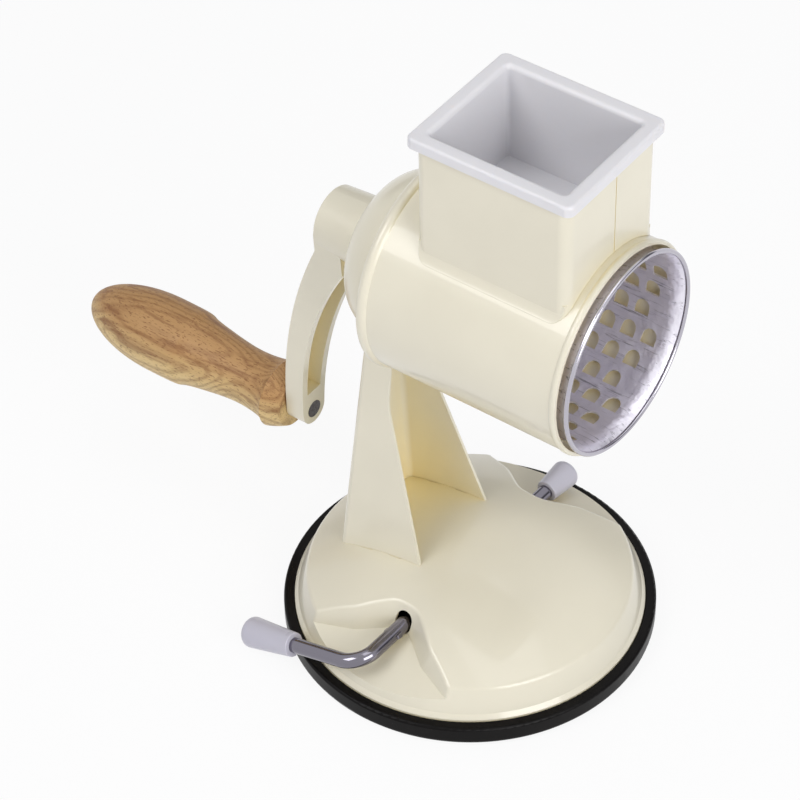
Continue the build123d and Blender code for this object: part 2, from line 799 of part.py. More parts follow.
def make_drum_strip(strip):
    """Part of the drum's sheet that holds a few neighbouring rows of holes."""
    rows = hole_rows // drum_strips
    first = strip * rows
    tube = rod_x(drum_back_x, drum_front_x, drum_radius)
    tube -= rod_x(drum_back_x, drum_front_x, drum_radius - drum_sheet)
    far = 2 * drum_radius
    half_angle = radians(180 / drum_strips)
    wedge = Polyline((0, 0), (-far * tan(half_angle), far), (far * tan(half_angle), far), close=True)
    wedge = extrude(Plane.YZ * make_face(wedge), amount=far, both=True)
    middle = row_turn(first + (rows - 1) / 2)
    sheet_part = tube & (Pos(0, 0, axis_height) * Rot(middle, 0, 0) * wedge)
    for row in range(first, first + rows):
        sheet_part -= drum_holes(row)
    return sheet_part


def make_drum_rim():
    """Flared mouth of the drum with a rolled edge."""
    inner = drum_radius - drum_sheet
    roll_x = rim_front - rim_roll
    roll_radius = rim_radius - rim_roll
    flare_end = roll_x - rim_roll * rim_roll_join
    rise = rim_flare
    halfway = rise * rim_flare_middle
    middle = (drum_front_x + flare_end) / 2
    outline = ThreePointArc((drum_front_x, inner), (middle, inner + halfway),
                            (flare_end, inner + rise))
    outline += Line((flare_end, inner + rise), (flare_end, inner + rise + drum_sheet))
    outline += ThreePointArc((flare_end, inner + rise + drum_sheet),
                             (middle, drum_radius + halfway), (drum_front_x, drum_radius))
    outline += Line((drum_front_x, drum_radius), (drum_front_x, inner))
    roll = Pos(roll_x, roll_radius) * Circle(rim_roll)
    return revolve(along * (make_face(outline) + roll), barrel_axis)


def make_drum_back():
    radius = drum_radius - drum_sheet - turn_gap / 2
    disc = rod_x(drum_back_x, drum_back_x + sheet, radius)
    disc -= rod_x(bush_back, 0, shaft_square * shaft_hole_share)
    for centre in rivet_centres():
        disc -= rivet_bar(centre, drum_back_x, drum_back_x + sheet, rivet_radius + turn_gap / 2)
    return disc


def rivet_centres():
    centres = []
    for step in range(3):
        turn = radians(90 + 120 * step)
        centres.append((rivet_circle * cos(turn), axis_height + rivet_circle * sin(turn)))
    return centres


def rivet_bar(centre, back, front, radius):
    bar = Cylinder(radius, front - back, rotation=(0, 90, 0))
    return Pos((back + front) / 2, centre[0], centre[1]) * bar


def make_drum_hub():
    back = drum_back_x + sheet
    hub = rod_x(back, hub_socket_front, hub_socket_radius)
    hub += rod_x(back, back + hub_flange_thick, hub_flange_radius)
    side = shaft_square / 2 + turn_gap
    socket = block(back * 2, shaft_front + 1, -side, side, axis_height - side, axis_height + side)
    hub -= socket
    for centre in rivet_centres():
        hub -= rivet_bar(centre, back, back + hub_flange_thick, rivet_radius + turn_gap / 2)
    return hub


def make_drum_rivet(centre):
    back = drum_back_x
    front = drum_back_x + sheet + hub_flange_thick
    head = rivet_radius * rivet_head_growth
    rivet = rivet_bar(centre, back, front, rivet_radius)
    rivet += rivet_bar(centre, back - rivet_head_height, back, head)
    return rivet + rivet_bar(centre, front, front + rivet_head_height, head)


# ---------------------------------------------------------------- hopper and pusher
def chute_solid(x0, x1, half, low, high, corner):
    """Upright square prism with rounded corners."""
    plan = RectangleRounded(x1 - x0, 2 * half, corner)
    return Pos((x0 + x1) / 2, 0, low) * extrude(plan, amount=high - low)


def hopper_foot():
    """Soft flare at the foot of the side walls."""
    reach = hopper_half + hopper_flare
    tip = reach + hopper_foot_inset
    inside = hopper_half - sheet / 2
    surface = sqrt(barrel_radius ** 2 - tip ** 2)
    edge = axis_height + surface + hopper_foot_edge
    start = axis_height + sqrt(barrel_radius ** 2 - hopper_half ** 2) + hopper_flare_rise
    middle = (hopper_half + hopper_flare * hopper_flare_out,
              edge + (start - edge) * hopper_flare_up)
    side = ThreePointArc((inside, start + sheet), middle, (tip, edge))
    side += Polyline((tip, edge), (tip, axis_height), (0, axis_height), (0, start + sheet),
                     (inside, start + sheet))
    profile = extrude(Plane.YZ * make_face(side), amount=2 * barrel_front, both=True)
    inset = hopper_foot_inset
    plan = chute_solid(hopper_back + inset, hopper_front - inset, reach, axis_height, hopper_top,
                       hopper_foot_corner)
    return plan & both_sides(profile)


def make_hopper():
    walls = chute_solid(hopper_back, hopper_front, hopper_half, axis_height, hopper_top,
                        hopper_corner)
    seat = rod_x(barrel_back * 2, barrel_front * 2, barrel_radius + seat_gap)
    hopper = walls + hopper_foot() - seat
    inside = chute_solid(hopper_back + sheet, hopper_front - sheet, hopper_half - sheet,
                         axis_height / 2, hopper_top + sheet, hopper_corner - sheet)
    seam = block(hopper_front - seam_depth, hopper_front + sheet, seam_y - seam_width / 2,
                 seam_y + seam_width / 2, axis_height, seam_top)
    return hopper - inside - seam


def make_pusher():
    back = hopper_back + sheet + pusher_clearance
    front = hopper_front - sheet - pusher_clearance
    half = hopper_half - sheet - pusher_clearance
    corner = hopper_corner - sheet
    rim_low = hopper_top + pusher_seat_gap
    rim_high = rim_low + pusher_rim
    under = axis_height + drum_radius + pusher_over_drum
    body = chute_solid(back, front, half, under, rim_low, corner)
    rim = chute_solid(hopper_back - pusher_overhang, hopper_front + pusher_overhang,
                      hopper_half + pusher_overhang, rim_low, rim_high,
                      pusher_corner)
    cavity = chute_solid(back + pusher_wall, front - pusher_wall, half - pusher_wall,
                         pusher_floor, rim_high + sheet, cavity_corner)
    pusher = body + rim - cavity
    top = pusher.edges().group_by(Axis.Z)[-1]
    inner = [e for e in top if is_inner(e, half - pusher_wall, front - pusher_wall)]
    outer = [e for e in top if not is_inner(e, half - pusher_wall, front - pusher_wall)]
    pusher = fillet(inner, pusher_inner_round)
    outer = [e for e in pusher.edges() if matches(e, outer)]
    return fillet(outer, pusher_round)


def is_inner(edge, half, front):
    """Edges of the cavity's mouth."""
    c = edge.center()
    return abs(c.Y) < half + 0.01 and c.X < front + 0.01 and c.X > hopper_back + sheet


def matches(edge, others):
    """Whether an edge lies where one of the others does."""
    return any((edge.center() - other.center()).length < 0.01 for other in others)


# ---------------------------------------------------------------- write the nodes
save("suction_cup", make_suction_cup())
save("base_shell", make_base_shell())
save("rod_bracket", swung(make_rod_bracket()))
save("column", make_column())
save("rear_cover", make_rear_cover())
save("barrel", make_barrel())
save("bearing_bush", make_bearing_bush())
save("bush_nut", make_bush_nut())
save("hopper", make_hopper())
save("lever_rod", swung(make_lever_rod()))
save("lever_cap", swung(make_lever_cap()))
save("lever_end_cap", swung(make_lever_end_cap()))
save("lift_cam", swung(make_lift_cam()))
save("cam_pin", swung(cam_pin_form()))
save("lift_yoke", swung(make_lift_yoke()))
save("lift_plate", swung(make_lift_plate()))
save("crank_arm", make_crank_arm())
save("crank_shaft", make_crank_shaft())
save("shaft_clip", make_shaft_clip())
save("thrust_washer", make_thrust_washer())
save("handle_pin", make_handle_pin())
save("wooden_handle", make_wooden_handle())
save("handle_sleeve", make_handle_sleeve())
for strip in range(drum_strips):
    save(f"drum_shell_{strip + 1}", make_drum_strip(strip))
save("drum_rim", make_drum_rim())
save("drum_back", make_drum_back())
save("drum_hub", make_drum_hub())
for number, centre in enumerate(rivet_centres(), start=1):
    save(f"drum_rivet_{number}", make_drum_rivet(centre))
save("pusher", make_pusher())
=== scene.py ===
"""Looks of a hand cranked drum grater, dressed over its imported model."""
import math

import bpy
from bpy.props import FloatProperty, FloatVectorProperty, PointerProperty
from mathutils import Matrix, Vector

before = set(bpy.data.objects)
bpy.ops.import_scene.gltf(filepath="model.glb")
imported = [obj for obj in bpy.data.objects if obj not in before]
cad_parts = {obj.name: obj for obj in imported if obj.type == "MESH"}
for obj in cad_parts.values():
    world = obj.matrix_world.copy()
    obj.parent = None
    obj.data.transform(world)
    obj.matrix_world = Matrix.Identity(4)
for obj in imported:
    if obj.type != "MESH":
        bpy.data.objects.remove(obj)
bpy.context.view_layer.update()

bl_info = {
    "name": "Drum grater looks",
    "version": (1, 0, 0),
    "blender": (4, 5, 0),
    "location": "View3D > Sidebar > Grater",
    "description": "Finishes of a hand cranked drum grater",
    "category": "Object",
}

MM = 0.001
WHITE = "#FFFFFF"
GRIP_AXIS = 69.4 * MM      # height of the wooden grip's axis
ROLL_START = 71.25 * MM    # the drum's rolled edge lies beyond this along X
SMOOTH_BELOW = 32.0        # degrees between faces that shade as one surface
NOISE_SPAN = (0.3, 0.7)    # holds nearly all values of a noise texture
NOISE_CORE = (0.35, 0.65)  # narrower, for patches with clear edges
FLOOR_REACH = 6.0          # metres from the middle to the floor's edge
FLOOR_WHITE = 0.9          # share of plain white in the floor where it is seen
ROOM_STRENGTH = 0.42       # of the light that the room sends to dull surfaces
LAMP_TARGET = (0.0, 0.0, 0.14)
LAMPS = (                  # name, place in metres, width, height, watts
    ("key", (-0.55, -1.1, 1.5), 0.9, 0.9, 11),
    ("fill", (1.4, -0.5, 0.72), 0.9, 0.9, 12.5),
    ("top", (0.1, 0.2, 1.7), 1.2, 0.8, 4.0),
)
CAMERA_PLACE = (542.65, -760.37, 993.21)      # millimetres
CAMERA_TURN = (-37.189, 43.152, -1.3043)      # degrees: yaw, downward pitch, roll
CAMERA_CLIP = (0.05, 50.0)                    # metres
SENSOR_WIDTH = 36.0                           # millimetres


# ------------------------------------------------------------------ shared helpers
def linear(hex_colour):
    """sRGB hex to a linear colour with alpha."""
    digits = hex_colour.lstrip("#")
    channels = []
    for start in (0, 2, 4):
        value = int(digits[start:start + 2], 16) / 255
        low = value / 12.92
        high = ((value + 0.055) / 1.055) ** 2.4
        channels.append(low if value <= 0.04045 else high)
    return (*channels, 1.0)


def colour_setting(name, description, hex_colour):
    return FloatVectorProperty(name=name, description=description, default=linear(hex_colour),
                               size=4, subtype="COLOR", min=0.0, max=1.0)


def length_setting(name, description, millimetres):
    return FloatProperty(name=name, description=description, default=millimetres * MM,
                         unit="LENGTH", precision=5)


def add(tree, kind, settings=None, **links):
    """One node. Settings are attributes or socket values. Links name a socket, or i0 for the first."""
    node = tree.nodes.new(kind)
    for name, value in (settings or {}).items():
        if name in node.inputs:
            node.inputs[name].default_value = value
        else:
            setattr(node, name, value)
    for name, source in links.items():
        key = int(name[1:]) if name[0] == "i" and name[1:].isdigit() else name.replace("_", " ")
        tree.links.new(source, node.inputs[key])
    return node


def clear_tree(owner):
    """Turns nodes on for a material or a world and returns its empty tree."""
    owner.use_nodes = True
    owner.node_tree.nodes.clear()
    return owner.node_tree


def new_material(name, settings):
    """A material with a Principled shader, and its tree."""
    material = bpy.data.materials.new(name)
    tree = clear_tree(material)
    shader = add(tree, "ShaderNodeBsdfPrincipled", settings)
    add(tree, "ShaderNodeOutputMaterial", Surface=shader.outputs["BSDF"])
    return material, tree, shader


def place_of(tree):
    """Place on the object in metres, the same in every view and pose."""
    return add(tree, "ShaderNodeTexCoord").outputs["Object"]


def noise(tree, vector, spacing, detail=2.0, roughness=0.5, distortion=0.0):
    """Cloudy noise whose features are about one spacing apart, in metres."""
    return add(tree, "ShaderNodeTexNoise",
               {"Scale": 1 / spacing, "Detail": detail, "Roughness": roughness,
                "Distortion": distortion}, Vector=vector).outputs["Fac"]


def spread(tree, value, low, high, out_low, out_high):
    """Maps a span of values to another, clamped."""
    return add(tree, "ShaderNodeMapRange",
               {"From Min": low, "From Max": high, "To Min": out_low, "To Max": out_high},
               Value=value).outputs["Result"]


def calc(tree, operation, first, second=None):
    """One sum on two values; each is a socket or a number."""
    node = add(tree, "ShaderNodeMath", {"operation": operation})
    for index, value in enumerate((first, second)):
        if value is None:
            continue
        if isinstance(value, (int, float)):
            node.inputs[index].default_value = value
        else:
            tree.links.new(value, node.inputs[index])
    return node.outputs["Value"]


def blend_colour(tree, factor, first, second):
    """Mixes two colours by a factor; each is a socket or a colour."""
    node = add(tree, "ShaderNodeMix", {"data_type": "RGBA"})
    tree.links.new(factor, node.inputs["Factor"])
    for name, value in (("A", first), ("B", second)):
        socket = [s for s in node.inputs if s.name == name and s.type == "RGBA"][0]
        if isinstance(value, tuple):
            socket.default_value = value
        else:
            tree.links.new(value, socket)
    return [s for s in node.outputs if s.type == "RGBA"][0]


def drawn_out(tree, place, share, turn=(0.0, 0.0, 0.0)):
    """The place with everything drawn out along X, after a turn in radians."""
    return add(tree, "ShaderNodeMapping", {"Rotation": turn, "Scale": (share, 1.0, 1.0)},
               Vector=place).outputs["Vector"]


def seen_white(tree):
    """Light path node, and a value of 1 on camera, glossy and transmission rays."""
    path = add(tree, "ShaderNodeLightPath")
    seen = calc(tree, "MAXIMUM", path.outputs["Is Camera Ray"], path.outputs["Is Glossy Ray"])
    return path, calc(tree, "MAXIMUM", seen, path.outputs["Is Transmission Ray"])


def bump(tree, shader, height, depth, below=None):
    """Bump of a real depth in metres, over another one below it."""
    links = {"Height": height}
    if below is not None:
        links["Normal"] = below
    node = add(tree, "ShaderNodeBump", {"Distance": depth, "Strength": 1.0}, **links)
    tree.links.new(node.outputs["Normal"], shader.inputs["Normal"])
    return node.outputs["Normal"]


def dress(node_names, material):
    """Gives CAD nodes a material and smooth shading between shallow faces."""
    for name in node_names:
        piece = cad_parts[name]
        piece.data.materials.clear()
        piece.data.materials.append(material)
        with bpy.context.temp_override(object=piece, active_object=piece,
                                       selected_objects=[piece],
                                       selected_editable_objects=[piece]):
            bpy.ops.object.shade_smooth_by_angle(angle=math.radians(SMOOTH_BELOW))


# ------------------------------------------------------------------ settings
class GraterColours(bpy.types.PropertyGroup):
    """Colours of the grater's finishes."""

    enamel: colour_setting("Enamel", "Cream stove enamel on sheet and casting", "#E8E2CE")
    enamel_shade: colour_setting("Enamel shade", "Slightly deeper tone in the enamel", "#E4DECA")
    # painted warm bounce light: this colour is mixed into the enamel where walls close in
    enamel_painted_bounce: colour_setting("Enamel in hollows", "Warmer tone of the enamel in hollows", "#F8EABC")
    caps: colour_setting("Lever caps", "White plastic caps of the lever", "#C4C2CE")
    pusher: colour_setting("Pusher", "White plastic of the pusher", "#E3E2E5")
    rubber: colour_setting("Rubber", "Black rubber of the foot", "#0A0808")
    rubber_dust: colour_setting("Rubber dust", "Grey bloom on the rubber", "#161414")
    beech: colour_setting("Beech", "Golden wood of the handle", "#DDC189")
    beech_brown: colour_setting("Brown beech", "Brown upper side of the handle", "#B28654")
    beech_dark: colour_setting("Beech grain", "Dark late wood of the handle", "#7C4B25")
    steel: colour_setting("Drum steel", "Rolled stainless steel of the drum", "#F2EFF9")
    rod: colour_setting("Lever rod", "Chrome plate of the lever rod", "#7F7C86")
    rim: colour_setting("Drum rim", "Polished steel of the drum's rolled edge", "#BDBAC4")
    scratch: colour_setting("Scratches", "Scratches in the drum's steel", "#77747C")
    zinc: colour_setting("Zinc", "Zinc plate on hidden hardware", "#A9ABAF")
    zinc_dark: colour_setting("Dark zinc", "Darker spangles of the zinc plate", "#85878C")
    rivet: colour_setting("Rivet", "Upset end of the handle's pin", "#77757A")
    rivet_dark: colour_setting("Rivet dents", "Dents in the upset end", "#4C4A4E")
    acetal: colour_setting("Acetal", "White bearing plastic", "#DCDBD4")
    floor: colour_setting("Floor", "Pale floor", "#F4F4F6")
    floor_shade: colour_setting("Floor shade", "Slightly darker patches of the floor", "#F0F0F2")
    room: colour_setting("Room", "Light of the room on dull surfaces", "#EDEDF0")
    far_wall: colour_setting("Far wall", "Dark band that only glossy surfaces reflect", "#55545A")


class GraterSizes(bpy.types.PropertyGroup):
    """Sizes of the fine detail."""

    clouds: length_setting("Clouds", "Width of the enamel's faint clouds", 40.0)
    # reach of the painted warm bounce light in the enamel's hollows
    painted_bounce: length_setting("Hollows", "How near walls warm the enamel between them", 45.0)
    peel: length_setting("Orange peel", "Width of the ripples in the enamel", 2.4)
    peel_depth: length_setting("Peel depth", "Depth of those ripples", 0.006)
    ring_spacing: length_setting("Year rings", "Distance between the wood's year rings", 2.6)
    pore_length: length_setting("Pores", "Length of the wood's flecks", 3.0)
    fibre: length_setting("Fibres", "Width of the wood's fibres", 0.7)
    streak: length_setting("Streaks", "Width of the wood's dark streaks", 4.5)
    wander: length_setting("Wander", "How far the wood's brown side wanders", 12.0)
    scratch_width: length_setting("Scratches", "Width of the drum's scratches", 0.35)
    steel_haze: length_setting("Steel haze", "Width of the drum's dull patches", 5.0)
    steel_dent: length_setting("Steel dents", "Width of the drum's dents", 4.5)
    plate_haze: length_setting("Plate haze", "Width of dull patches in bright plate", 6.0)
    plate_wave: length_setting("Plate waves", "Width of waves in bright plate", 5.0)
    spangle: length_setting("Spangles", "Width of the zinc's spangles", 1.6)
    rivet_dent: length_setting("Rivet dents", "Width of the dents in a rivet", 1.1)
    flow: length_setting("Flow marks", "Width of flow marks in moulded plastic", 14.0)
    dust: length_setting("Rubber bloom", "Width of the patches of bloom", 12.0)
    mould_grain: length_setting("Mould grain", "Grain of moulded rubber and plastic", 0.5)
    floor_patch: length_setting("Floor patches", "Width of the floor's patches", 150.0)
    lens: FloatProperty(name="Lens", description="Focal length of the camera",
                        default=146.35, subtype="DISTANCE_CAMERA")


# ------------------------------------------------------------------ materials
def stove_enamel(name, roughness, peel_share):
    """Stove enamel, sprayed and baked on steel: a glossy cream skin, with painted warm bounce light in
    the hollows.
    """
    colours = bpy.context.scene.grater_colours
    sizes = bpy.context.scene.grater_sizes
    material, tree, shader = new_material(
        name, {"Roughness": roughness, "IOR": 1.5, "Coat Weight": 0.5, "Coat Roughness": 0.04,
               "Coat IOR": 1.5})
    place = place_of(tree)
    clouds = noise(tree, place, sizes.clouds)
    tone = blend_colour(tree, spread(tree, clouds, *NOISE_CORE, 0.0, 1.0),
                        tuple(colours.enamel), tuple(colours.enamel_shade))
    # painted warm bounce light: the enamel turns lighter and warmer where walls close in
    painted_bounce = add(tree, "ShaderNodeAmbientOcclusion", {"samples": 8, "Distance": sizes.painted_bounce})
    deep, shallow = 0.12, 0.66    # share of open sky in a deep hollow and at its mouth
    share = spread(tree, painted_bounce.outputs["AO"], deep, shallow, 1.0, 0.0)
    tone = blend_colour(tree, share, tone, tuple(colours.enamel_painted_bounce))
    tree.links.new(tone, shader.inputs["Base Color"])
    ripple = noise(tree, place, sizes.peel, 1.0)
    bump(tree, shader, ripple, sizes.peel_depth * peel_share)
    return material


def moulded_plastic(name, colour, roughness, glow):
    """Polypropylene or ABS from a polished mould: light enters it a little."""
    sizes = bpy.context.scene.grater_sizes
    material, tree, shader = new_material(
        name, {"Base Color": tuple(colour), "IOR": 1.49, "Subsurface Weight": glow,
               "Subsurface Scale": 2 * MM, "Subsurface Radius": (1.0, 0.9, 0.8)})
    place = place_of(tree)
    flow = noise(tree, place, sizes.flow)
    tree.links.new(spread(tree, flow, *NOISE_SPAN, roughness - 0.04, roughness + 0.06),
                   shader.inputs["Roughness"])
    bump(tree, shader, noise(tree, place, 2 * sizes.mould_grain, 1.0), 0.002 * MM)
    return material


def moulded_rubber():
    """Nitrile rubber from a turned mould: dark, softly shining, with a grey bloom."""
    colours = bpy.context.scene.grater_colours
    sizes = bpy.context.scene.grater_sizes
    material, tree, shader = new_material("moulded_nitrile_rubber",
                                          {"IOR": 1.52, "Specular IOR Level": 0.1})
    place = place_of(tree)
    dust = noise(tree, place, sizes.dust, 4.0, 0.6)
    tone = blend_colour(tree, spread(tree, dust, 0.5, 0.8, 0.0, 0.5),
                        tuple(colours.rubber), tuple(colours.rubber_dust))
    tree.links.new(tone, shader.inputs["Base Color"])
    tree.links.new(spread(tree, dust, *NOISE_SPAN, 0.26, 0.38), shader.inputs["Roughness"])
    bump(tree, shader, noise(tree, place, sizes.mould_grain), 0.01 * MM)
    return material


def plated(name, colour, roughness, wave_depth):
    """Chrome plate or polish on steel: near mirror bright, with faint waves and haze."""
    sizes = bpy.context.scene.grater_sizes
    material, tree, shader = new_material(name, {"Base Color": tuple(colour), "Metallic": 1.0})
    place = place_of(tree)
    haze = noise(tree, place, sizes.plate_haze, 3.0)
    tree.links.new(spread(tree, haze, *NOISE_SPAN, roughness * 0.6, roughness * 1.5),
                   shader.inputs["Roughness"])
    bump(tree, shader, noise(tree, place, sizes.plate_wave, 1.0), wave_depth)
    return material


def zinc_plated():
    """Zinc plate on turned and pressed steel: a dull, spangled grey."""
    colours = bpy.context.scene.grater_colours
    sizes = bpy.context.scene.grater_sizes
    material, tree, shader = new_material("zinc_plated_steel", {"Metallic": 1.0})
    place = place_of(tree)
    spangle = add(tree, "ShaderNodeTexVoronoi", {"Scale": 1 / sizes.spangle}, Vector=place)
    tone = blend_colour(tree, spangle.outputs["Distance"], tuple(colours.zinc),
                        tuple(colours.zinc_dark))
    tree.links.new(tone, shader.inputs["Base Color"])
    haze = noise(tree, place, 2.5 * sizes.spangle, 3.0)
    tree.links.new(spread(tree, haze, *NOISE_SPAN, 0.34, 0.5), shader.inputs["Roughness"])
    return material


def upset_steel():
    """Bare steel end of a rivet, hammered over: dark, with dents from the punch."""
    colours = bpy.context.scene.grater_colours
    sizes = bpy.context.scene.grater_sizes
    material, tree, shader = new_material("upset_rivet_steel", {"Metallic": 1.0})
    place = place_of(tree)
    dents = noise(tree, place, sizes.rivet_dent, 3.0, 0.6, 0.8)
    tone = blend_colour(tree, spread(tree, dents, *NOISE_CORE, 0.0, 1.0),
                        tuple(colours.rivet_dark), tuple(colours.rivet))
    tree.links.new(tone, shader.inputs["Base Color"])
    tree.links.new(spread(tree, dents, *NOISE_SPAN, 0.3, 0.55), shader.inputs["Roughness"])
    bump(tree, shader, dents, 0.12 * MM)
    return material


def oiled_beech():
    """Beech turned on a lathe and oiled: brown above, golden below with looped year rings."""
    colours = bpy.context.scene.grater_colours
    sizes = bpy.context.scene.grater_sizes
    material, tree, shader = new_material("oiled_beech", {"IOR": 1.47})
    place = place_of(tree)
    height = add(tree, "ShaderNodeSeparateXYZ", Vector=place).outputs["Z"]
    wander = noise(tree, drawn_out(tree, place, 0.12), 8 * MM, 3.0)
    height = calc(tree, "ADD", height, calc(tree, "MULTIPLY", wander, sizes.wander))
    # the two sides of the wood, split by height
    upper = spread(tree, height, GRIP_AXIS + 5 * MM, GRIP_AXIS + 15 * MM, 0.0, 0.9)
    tone = blend_colour(tree, upper, tuple(colours.beech), tuple(colours.beech_brown))
    # year rings: contour lines of slow noise, which close into long loops
    contours = 17
    hills = noise(tree, drawn_out(tree, place, 0.34), 11 * sizes.ring_spacing, 1.0, 0.5, 0.3)
    loops = calc(tree, "SINE", calc(tree, "MULTIPLY", hills, 2 * math.pi * contours))
    fibres = noise(tree, drawn_out(tree, place, 0.06), sizes.fibre, 4.0, 0.65)
    grain = calc(tree, "MULTIPLY", spread(tree, loops, -0.2, 1.0, 0.0, 0.55),
                 spread(tree, fibres, *NOISE_SPAN, 0.3, 1.0))
    tone = blend_colour(tree, grain, tone, tuple(colours.beech_dark))
    # a few long dark streaks above
    streaks = noise(tree, drawn_out(tree, place, 0.09), sizes.streak, 3.0)
    above = spread(tree, height, GRIP_AXIS + 2 * MM, GRIP_AXIS + 9 * MM, 0.0, 0.62)
    streaks = calc(tree, "MULTIPLY", spread(tree, streaks, 0.54, 0.64, 0.0, 1.0), above)
    tone = blend_colour(tree, streaks, tone, tuple(colours.beech_dark))
    # short dark flecks everywhere
    flecks = noise(tree, drawn_out(tree, place, 0.2), 0.16 * sizes.pore_length, 1.0)
    dark = spread(tree, flecks, 0.6, 0.68, 0.0, 0.7)
    tone = blend_colour(tree, dark, tone, tuple(colours.beech_dark))
    tree.links.new(tone, shader.inputs["Base Color"])
    tree.links.new(spread(tree, fibres, *NOISE_SPAN, 0.4, 0.55), shader.inputs["Roughness"])
    bump(tree, shader, calc(tree, "SUBTRACT", fibres, dark), 0.12 * MM)
    return material


def rolled_stainless():
    """Stainless sheet, perforated and rolled: satin bright, with slanting scratches and dents."""
    colours = bpy.context.scene.grater_colours
    sizes = bpy.context.scene.grater_sizes
    material, tree, shader = new_material("perforated_stainless_steel", {"Metallic": 0.8})
    place = place_of(tree)
    slanting = drawn_out(tree, place, 0.07, (0.0, 0.42, 0.25))
    scratches = noise(tree, slanting, 4 * sizes.scratch_width, 4.0, 0.72)
    marks = spread(tree, scratches, 0.57, 0.7, 0.0, 0.8)
    tone = blend_colour(tree, marks, tuple(colours.steel), tuple(colours.scratch))
    tree.links.new(tone, shader.inputs["Base Color"])
    haze = noise(tree, place, sizes.steel_haze, 4.0, 0.6)
    tree.links.new(spread(tree, haze, *NOISE_SPAN, 0.3, 0.48), shader.inputs["Roughness"])
    dents = bump(tree, shader, noise(tree, place, sizes.steel_dent), 0.55 * MM)
    bump(tree, shader, scratches, 0.03 * MM, dents)
    return material


# ------------------------------------------------------------------ pieces
class GRATER_OT_enamelled_sheet(bpy.types.Operator):
    """Enamel on the base, column, cover, barrel and hopper"""

    bl_idname = "grater.enamelled_sheet"
    bl_label = "Enamelled sheet"

    def execute(self, context):
        enamel = stove_enamel("stove_enamel_on_sheet", 0.3, 1.0)
        dress(["base_shell", "column", "rear_cover", "barrel", "hopper"], enamel)
        return {"FINISHED"}


class GRATER_OT_crank(bpy.types.Operator):
    """Enamel on the cast crank, and its rivet"""

    bl_idname = "grater.crank"
    bl_label = "Crank"

    def execute(self, context):
        dress(["crank_arm"], stove_enamel("stove_enamel_on_casting", 0.36, 1.5))
        dress(["handle_pin", "drum_rivet_1", "drum_rivet_2", "drum_rivet_3"], upset_steel())
        return {"FINISHED"}


class GRATER_OT_handle(bpy.types.Operator):
    """Beech on the turned handle"""

    bl_idname = "grater.handle"
    bl_label = "Wooden handle"

    def execute(self, context):
        dress(["wooden_handle"], oiled_beech())
        return {"FINISHED"}


class GRATER_OT_lever(bpy.types.Operator):
    """Chrome on the lever rod and plastic on its caps"""

    bl_idname = "grater.lever"
    bl_label = "Lever"

    def execute(self, context):
        colours = context.scene.grater_colours
        dress(["lever_rod"], plated("chrome_plated_rod", colours.rod, 0.09, 0.02 * MM))
        dress(["lever_cap", "lever_end_cap"],
              moulded_plastic("moulded_abs", colours.caps, 0.3, 0.15))
        return {"FINISHED"}


class GRATER_OT_drum(bpy.types.Operator):
    """Stainless steel drum with a polished rolled edge, and its plastic hub"""

    bl_idname = "grater.drum"
    bl_label = "Drum"

    def execute(self, context):
        colours = context.scene.grater_colours
        strips = [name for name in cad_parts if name.startswith("drum_shell")]
        dress([*strips, "drum_back", "drum_rim"], rolled_stainless())
        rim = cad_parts["drum_rim"]
        rim.data.materials.append(plated("polished_rolled_edge", colours.rim, 0.12, 0.03 * MM))
        for face in rim.data.polygons:
            corners = [rim.matrix_world @ rim.data.vertices[index].co for index in face.vertices]
            if min(corner.x for corner in corners) > ROLL_START:
                face.material_index = 1
        dress(["drum_hub", "bearing_bush"],
              moulded_plastic("moulded_acetal", colours.acetal, 0.4, 0.1))
        return {"FINISHED"}


class GRATER_OT_pusher(bpy.types.Operator):
    """White plastic pusher"""

    bl_idname = "grater.pusher"
    bl_label = "Pusher"

    def execute(self, context):
        colours = context.scene.grater_colours
        dress(["pusher"], moulded_plastic("moulded_polypropylene", colours.pusher, 0.38, 0.3))
        return {"FINISHED"}


class GRATER_OT_foot(bpy.types.Operator):
    """Rubber suction foot"""

    bl_idname = "grater.foot"
    bl_label = "Foot"

    def execute(self, context):
        dress(["suction_cup"], moulded_rubber())
        return {"FINISHED"}


class GRATER_OT_hardware(bpy.types.Operator):
    """Zinc plate on the hidden hardware"""

    bl_idname = "grater.hardware"
    bl_label = "Hidden hardware"

    def execute(self, context):
        dress(["rod_bracket", "bush_nut", "lift_cam", "cam_pin", "lift_yoke", "lift_plate",
               "crank_shaft", "shaft_clip", "thrust_washer", "handle_sleeve"], zinc_plated())
        return {"FINISHED"}


# ------------------------------------------------------------------ stage
def soft_lamp(name, place, width, height, watts):
    """An area lamp at a place, facing the middle of the object."""
    lamp = bpy.data.lights.new(name, "AREA")
    lamp.shape = "RECTANGLE"
    lamp.size = width
    lamp.size_y = height
    lamp.energy = watts
    holder = bpy.data.objects.new(name, lamp)
    holder.location = place
    facing = Vector(LAMP_TARGET) - Vector(place)
    holder.rotation_euler = facing.to_track_quat("-Z", "Y").to_euler()
    bpy.context.scene.collection.objects.link(holder)


